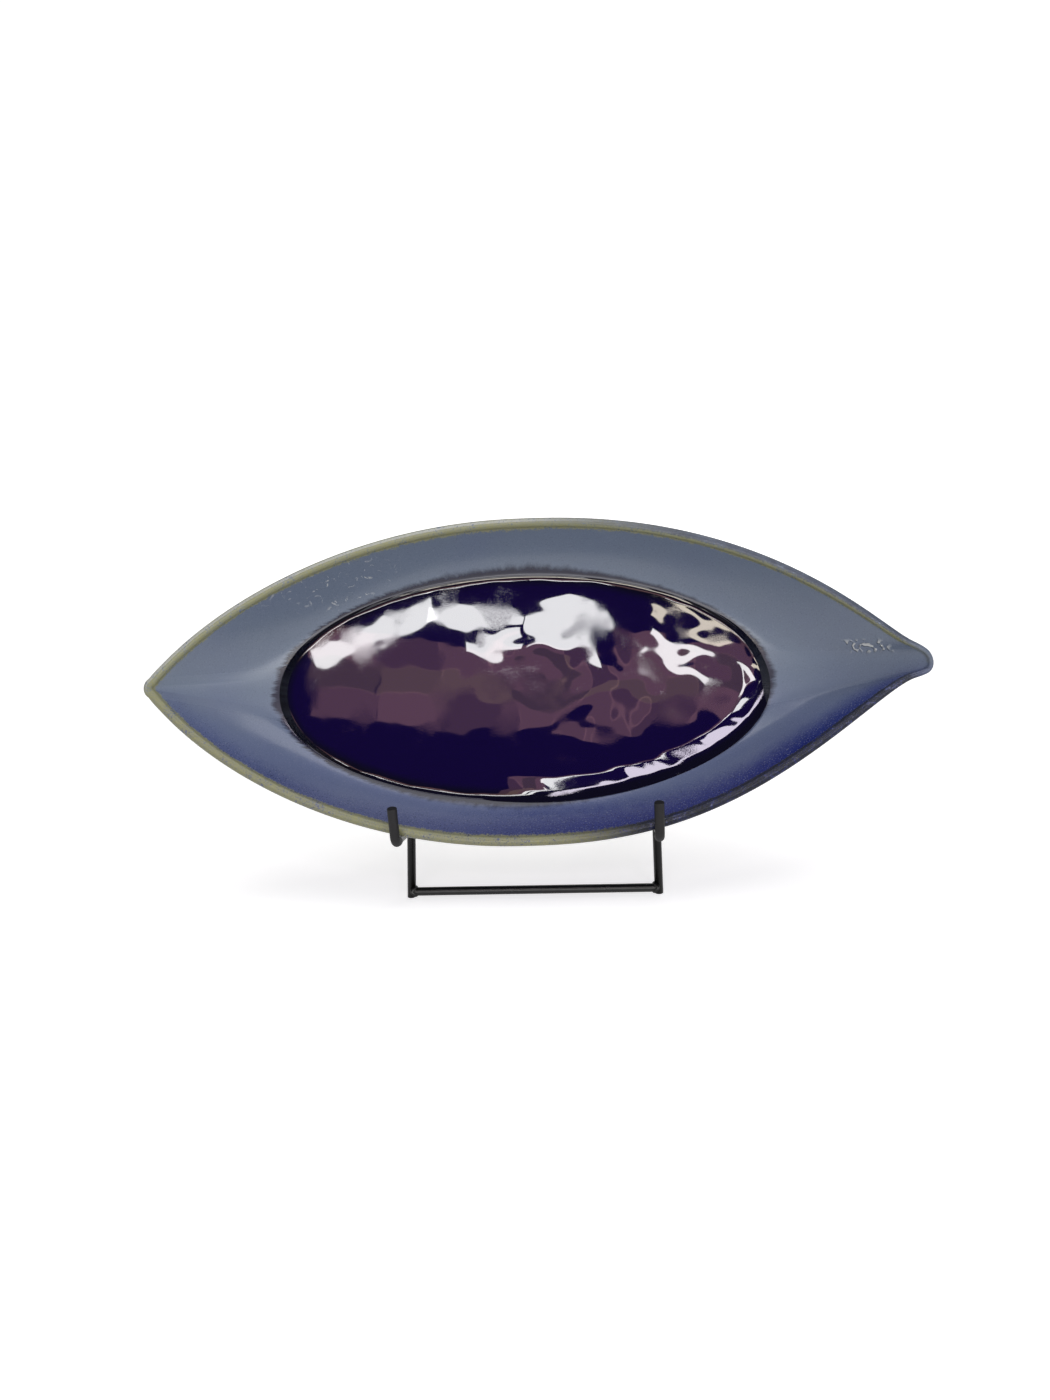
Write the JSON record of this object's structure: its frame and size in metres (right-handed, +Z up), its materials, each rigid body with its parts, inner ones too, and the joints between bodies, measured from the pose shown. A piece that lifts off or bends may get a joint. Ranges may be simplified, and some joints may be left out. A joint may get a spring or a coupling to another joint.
{
  "type": "platter on a folding wire stand",
  "caption": "Boat-shaped glazed stoneware platter with a pool of cobalt glass in its well, leaning on a black wire stand with hooked arms and a rear prop that folds.",
  "frame": {"origin": "on the table under the middle of the front floor bar", "axes": "+X along the platter to its nib, on the viewer's right; +Y to the rear prop, away from the viewer; +Z up"},
  "size_m": [0.4134, 0.1416, 0.201],
  "materials": {
    "glazed_clay": "satin grey-blue glaze, olive where it breaks thin over the lip",
    "cobalt_glass": "deep cobalt, glossy and wavy, opaque over the clay",
    "black_bar": "semi-gloss black",
    "black_vinyl": "matte black vinyl coat"
  },
  "bodies": {
    "stand_frame": {"left_upright": "black_bar", "right_upright": "black_bar", "floor_bar": "black_bar", "top_bar": "black_bar", "left_arm_hook": "black_bar", "right_arm_hook": "black_bar", "left_hook_sleeve": "black_vinyl", "right_hook_sleeve": "black_vinyl"},
    "rear_prop": {"left_hinge_barrel": "black_bar", "right_hinge_barrel": "black_bar", "left_prop_leg": "black_bar", "right_prop_leg": "black_bar", "prop_floor_bar": "black_bar", "left_stop_lug": "black_bar", "right_stop_lug": "black_bar"},
    "platter": {"platter_body": "glazed_clay", "cobalt_pool": "cobalt_glass"}
  },
  "joints": [
    {"name": "prop_fold", "type": "hinge", "parent": "stand_frame", "child": "rear_prop", "pos_m": [0, 0.05543, 0.12606], "axis": [1, 0, 0], "range_deg": [-43, 0]},
    {"name": "platter_lift", "type": "slide", "parent": "stand_frame", "child": "platter", "axis": [0, 0.3907, 0.9205], "range_m": [0, 0.12]}
  ]
}
